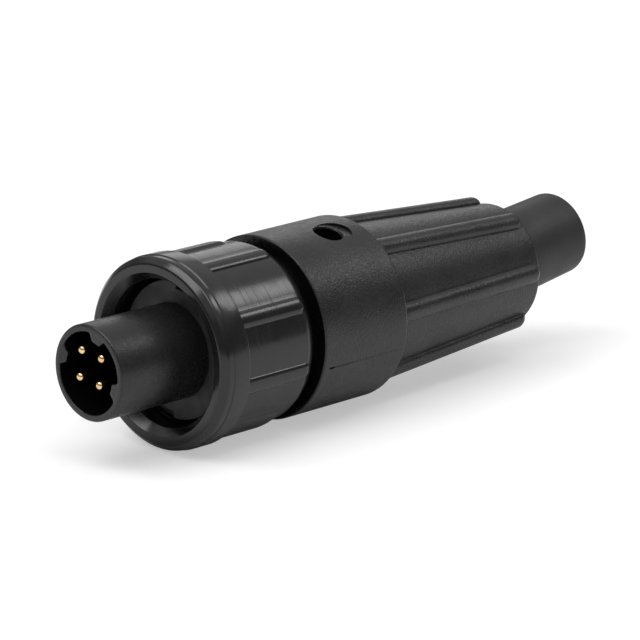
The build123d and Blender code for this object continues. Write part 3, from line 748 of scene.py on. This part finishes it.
# who rides on what, and what each piece stands for
riders = [
    (shell, "shell", "shell_plastic", ["plug_shell"]),
    (contacts, "shell", "contact_gold", ["contact_pin_1", "contact_pin_2", "contact_pin_3", "contact_pin_4"]),
    (ring, "ring", "ring_plastic", ["coupling_ring"]),
    (sleeve, "shell", "shell_plastic", ["body_sleeve"]),
    (nut, "nut", "shell_plastic", ["grip_nut"]),
    (boot, "gland", "boot_rubber", ["strain_relief"]),
    (flange, "gland", "boot_rubber", []),
]
for piece, body, slot, nodes in riders:
    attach(piece, body)
    if nodes:
        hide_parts(*nodes)

# the solids that stay get a finish by their slot in the record
slotFinish = {
    "shell_plastic": "shellBlack", "ring_plastic": "ringBlack", "insert_plastic": "insertBlack",
    "boot_rubber": "bootRubber", "seal_rubber": "sealRubber", "contact_gold": "contactGold",
    "spring_steel": "springSteel", "screw_steel": "screwBlack", "clamp_plastic": "clampNylon",
}
for row in frame["record"]["subparts"]:
    cadNode = frame["nodes"][row["node"]]
    cadNode.data.materials.clear()
    cadNode.data.materials.append(finishes[slotFinish[row["material_slot"]]])
print("pieces ride on their bodies")


# floor, backdrop and studio light
def seenDirectly(tree):  # 1 where the camera looks straight at it, or through glass
    paths = tree.nodes.new("ShaderNodeLightPath")
    return calc(tree, "MAXIMUM", paths.outputs["Is Camera Ray"], paths.outputs["Is Transmission Ray"])


def towards(azimuth, height):  # a direction from the object, azimuth from +X towards +Y
    a, e = math.radians(azimuth), math.radians(height)
    return Vector((math.cos(e) * math.cos(a), math.cos(e) * math.sin(a), math.sin(e)))


floorLook = {
    "below": 0.01,  # under the lowest point of the solids
    "size": 6.0,  # in metres
    "tone": 0.62, "lift": 0.45,  # as the camera sees it
    "mirrorTone": 0.92,  # as the object sees it
    "rough": 0.9, "specular": 0.1,
}
half = floorLook["size"] / 2
level = cadBox[0].z - floorLook["below"] * mm
floorMesh = bpy.data.meshes.new("floor")
floorMesh.from_pydata(
    [(x * half, y * half, level) for x, y in ((-1, -1), (1, -1), (1, 1), (-1, 1))], [], [(0, 1, 2, 3)])
floor = bpy.data.objects.new("floor", floorMesh)
scene.collection.objects.link(floor)
paper = bpy.data.materials.new("floorPaper")
paper.use_nodes = True
tree = paper.node_tree
paperShader = tree.nodes["Principled BSDF"]
paperShader.inputs["Roughness"].default_value = floorLook["rough"]
paperShader.inputs["Specular IOR Level"].default_value = floorLook["specular"]
paperShader.inputs["Emission Color"].default_value = (1, 1, 1, 1)
seen = seenDirectly(tree)
tones = [(floorLook[key],) * 3 + (1,) for key in ("mirrorTone", "tone")]
tree.links.new(mixColour(tree, seen, *tones), paperShader.inputs["Base Color"])
tree.links.new(calc(tree, "MULTIPLY", seen, floorLook["lift"]), paperShader.inputs["Emission Strength"])
floorMesh.materials.append(paper)

# the room as the object sees it: a dim horizon, a bright ceiling and one pale screen behind
roomLook = {
    "low": 0.36, "high": 0.64, "horizon": 0.18, "ceiling": 0.66,
    "screenAzimuth": 133.0, "screenHeight": 19.0, "screenEdge": 0.976, "screenFull": 0.992, "screen": 1.15,
}
world = bpy.data.worlds.new("studio")
scene.world = world
world.use_nodes = True
tree = world.node_tree
background = tree.nodes["Background"]
background.inputs["Color"].default_value = (1, 1, 1, 1)
seen = seenDirectly(tree)
way = tree.nodes.new("ShaderNodeTexCoord").outputs["Generated"]
split = tree.nodes.new("ShaderNodeSeparateXYZ")
tree.links.new(way, split.inputs[0])
room = ramp(tree, split.outputs[2], *(roomLook[key] for key in ("low", "high", "horizon", "ceiling")))
aim = tree.nodes.new("ShaderNodeVectorMath")
aim.operation = "DOT_PRODUCT"
tree.links.new(way, aim.inputs[0])
aim.inputs[1].default_value = towards(roomLook["screenAzimuth"], roomLook["screenHeight"])
room = calc(tree, "ADD", room, ramp(
    tree, aim.outputs["Value"], roomLook["screenEdge"], roomLook["screenFull"], 0.0, roomLook["screen"]))
bright = calc(tree, "ADD", calc(tree, "MULTIPLY", room, calc(tree, "SUBTRACT", 1.0, seen)), seen)
tree.links.new(bright, background.inputs["Strength"])

# distances and sizes in metres
studioLamps = {
    "rearBox": {"azimuth": 64, "height": 40, "away": 0.9, "size": (0.22, 0.22), "power": 0.62},
    "frontBox": {"azimuth": -110, "height": 60, "away": 1.0, "size": (0.7, 0.5), "power": 4.0},
    "sideBox": {"azimuth": -20, "height": 68, "away": 1.0, "size": (0.5, 0.5), "power": 2.0},
}
objectMiddle = Vector((0, 0.038, 0))
for name, look in studioLamps.items():
    lamp = bpy.data.lights.new(name, "AREA")
    lamp.shape = "RECTANGLE"
    lamp.size, lamp.size_y = look["size"]
    lamp.energy = look["power"]
    way = towards(look["azimuth"], look["height"])
    lampObject = bpy.data.objects.new(name, lamp)
    lampObject.location = objectMiddle + way * look["away"]
    lampObject.rotation_euler = way.to_track_quat("Z", "Y").to_euler()
    scene.collection.objects.link(lampObject)
print("stage and lamps ready")
